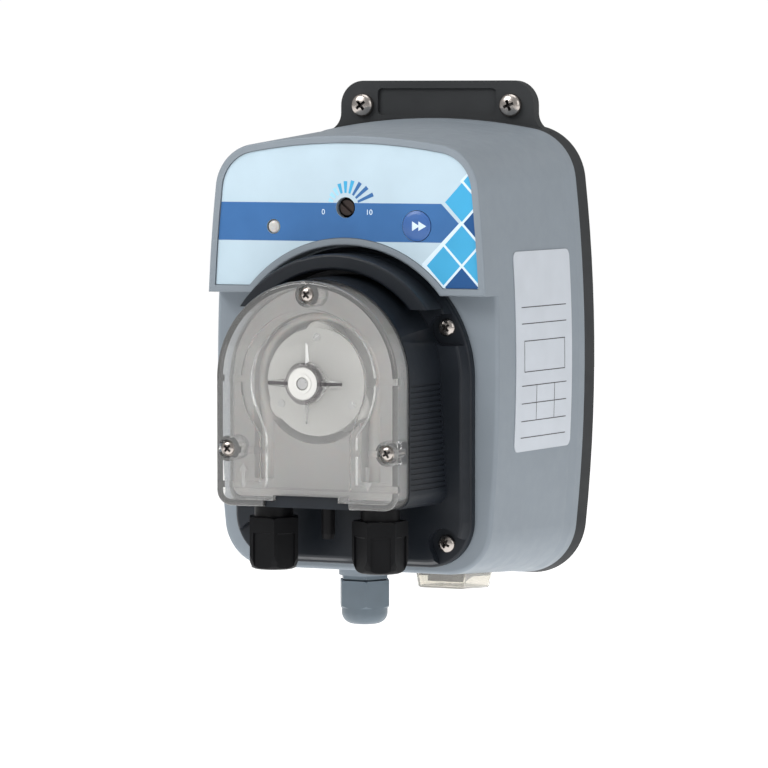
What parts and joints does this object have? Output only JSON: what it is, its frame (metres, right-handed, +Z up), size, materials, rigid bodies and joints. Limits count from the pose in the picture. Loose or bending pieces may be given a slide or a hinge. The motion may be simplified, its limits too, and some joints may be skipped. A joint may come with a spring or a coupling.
{
  "type": "dosing pump",
  "caption": "Wall-hung peristaltic dosing pump with a clear head cover, a control hood, hose nuts underneath, a cable gland and a covered mains rocker.",
  "frame": {"origin": "on the wall plane, midway between the two wall screws", "axes": "+Z up, -Y towards the front, +X right as seen from the front"},
  "size_m": [0.136, 0.1543, 0.2173],
  "materials": {
    "grey_plastic": "moulded, fine grain",
    "dark_plastic": "moulded, fine grain",
    "head_plastic": "moulded, satin",
    "nut_plastic": "moulded, satin",
    "black_plastic": "moulded",
    "gland_plastic": "moulded, satin",
    "pale_plastic": "moulded",
    "white_plastic": "moulded",
    "roller_plastic": "turned",
    "button_blue": "domed key cap",
    "printed_film": "printed film, light blue",
    "label_foil": "silver white foil",
    "board_laminate": "glass laminate",
    "led_resin": "diffused",
    "bronze_shaft": "slotted shaft",
    "clear_plastic": "clear, polished",
    "clear_vinyl": "clear, slightly yellow",
    "seal_rubber": "black",
    "tube_rubber": "translucent natural",
    "stainless": "stainless",
    "steel": "ground",
    "brass": "turned",
    "zinc_plate": "zinc plated",
    "laminated_steel": "lacquered"
  },
  "bodies": {
    "case": {"front_housing": "grey_plastic", "rear_cover": "dark_plastic", "housing_gasket": "seal_rubber", "rear_cover_screws": "stainless", "wall_screws": "stainless", "panel_overlay": "printed_film", "side_label": "label_foil", "circuit_board": "board_laminate", "board_screws": "stainless", "status_led": "led_resin", "trimmer_body": "black_plastic", "button_switch": "black_plastic", "pump_head": "head_plastic", "head_gasket": "seal_rubber", "head_screws": "stainless", "raceway": "pale_plastic", "pump_tube": "tube_rubber", "clear_cover": "clear_plastic", "cover_screws": "stainless", "cover_bush": "white_plastic", "inlet_connector": "black_plastic", "outlet_connector": "black_plastic", "drain_nozzle": "black_plastic", "gland_body": "gland_plastic", "gland_locknut": "gland_plastic", "gland_seal": "seal_rubber", "switch_body": "black_plastic", "switch_boot": "clear_vinyl", "gearbox_front": "pale_plastic", "gearbox_rear": "pale_plastic", "output_bearing": "steel", "idler_arbor": "steel", "motor": "zinc_plate", "gearbox_screws": "stainless", "transformer": "laminated_steel", "transformer_screws": "stainless"},
    "rotor": {"drive_shaft": "steel", "rotor_rear_disc": "white_plastic", "rotor_front_disc": "white_plastic", "roller_pins": "steel", "output_gear": "white_plastic"},
    "roller_a": {"roller_1": "roller_plastic"},
    "roller_b": {"roller_2": "roller_plastic"},
    "roller_c": {"roller_3": "roller_plastic"},
    "idler": {"idler_gear": "white_plastic"},
    "motor_rotor": {"motor_pinion": "brass", "motor_shaft": "steel"},
    "flow_trimmer": {"trimmer_shaft": "bronze_shaft"},
    "button": {"prime_button": "button_blue"},
    "rocker": {"switch_rocker": "black_plastic"},
    "inlet_hose_nut": {"inlet_nut": "nut_plastic"},
    "outlet_hose_nut": {"outlet_nut": "nut_plastic"},
    "cable_nut": {"gland_nut": "gland_plastic"}
  },
  "joints": [
    {"name": "rotor_spin", "type": "hinge", "parent": "case", "child": "rotor", "pos_m": [0, -0.1119, -0.107], "axis": [0, 1, 0], "continuous": true, "deforming": ["pump_tube"]},
    {"name": "roller_a_spin", "type": "hinge", "parent": "rotor", "child": "roller_a", "pos_m": [0, -0.1119, -0.0896], "axis": [0, 1, 0], "continuous": true},
    {"name": "roller_b_spin", "type": "hinge", "parent": "rotor", "child": "roller_b", "pos_m": [-0.01507, -0.1119, -0.1157], "axis": [0, 1, 0], "continuous": true},
    {"name": "roller_c_spin", "type": "hinge", "parent": "rotor", "child": "roller_c", "pos_m": [0.01507, -0.1119, -0.1157], "axis": [0, 1, 0], "continuous": true},
    {"name": "idler_spin", "type": "hinge", "parent": "case", "child": "idler", "pos_m": [0.01366, -0.0727, -0.09334], "axis": [0, 1, 0], "continuous": true},
    {"name": "motor_spin", "type": "hinge", "parent": "case", "child": "motor_rotor", "pos_m": [0, -0.0697, -0.07968], "axis": [0, 1, 0], "continuous": true},
    {"name": "flow_turn", "type": "hinge", "parent": "case", "child": "flow_trimmer", "pos_m": [0, -0.09, -0.04], "axis": [0, 1, 0], "range_deg": [-140, 140]},
    {"name": "prime_press", "type": "slide", "parent": "case", "child": "button", "axis": [0, 1, 0], "range_m": [0, 0.0005], "stiffness_N_per_m": 2500},
    {"name": "power_rock", "type": "hinge", "parent": "case", "child": "rocker", "pos_m": [0.03, -0.05589, -0.18422], "axis": [1, 0, 0], "range_deg": [-18, 0]},
    {"name": "inlet_nut_turn", "type": "hinge", "parent": "case", "child": "inlet_hose_nut", "pos_m": [-0.0229, -0.1119, -0.171], "axis": [0, 0, 1], "range_deg": [-360, 0]},
    {"name": "outlet_nut_turn", "type": "hinge", "parent": "case", "child": "outlet_hose_nut", "pos_m": [0.0229, -0.1119, -0.171], "axis": [0, 0, 1], "range_deg": [-360, 0]},
    {"name": "cable_nut_turn", "type": "hinge", "parent": "case", "child": "cable_nut", "pos_m": [-0.0056, -0.064, -0.197], "axis": [0, 0, 1], "range_deg": [-360, 0]}
  ],
  "couplings": [
    {"joint": "roller_a_spin", "follows": "rotor_spin", "ratio": -3.7188},
    {"joint": "roller_b_spin", "follows": "rotor_spin", "ratio": -3.7188},
    {"joint": "roller_c_spin", "follows": "rotor_spin", "ratio": -3.7188},
    {"joint": "idler_spin", "follows": "rotor_spin", "ratio": -3},
    {"joint": "motor_spin", "follows": "rotor_spin", "ratio": 9}
  ]
}
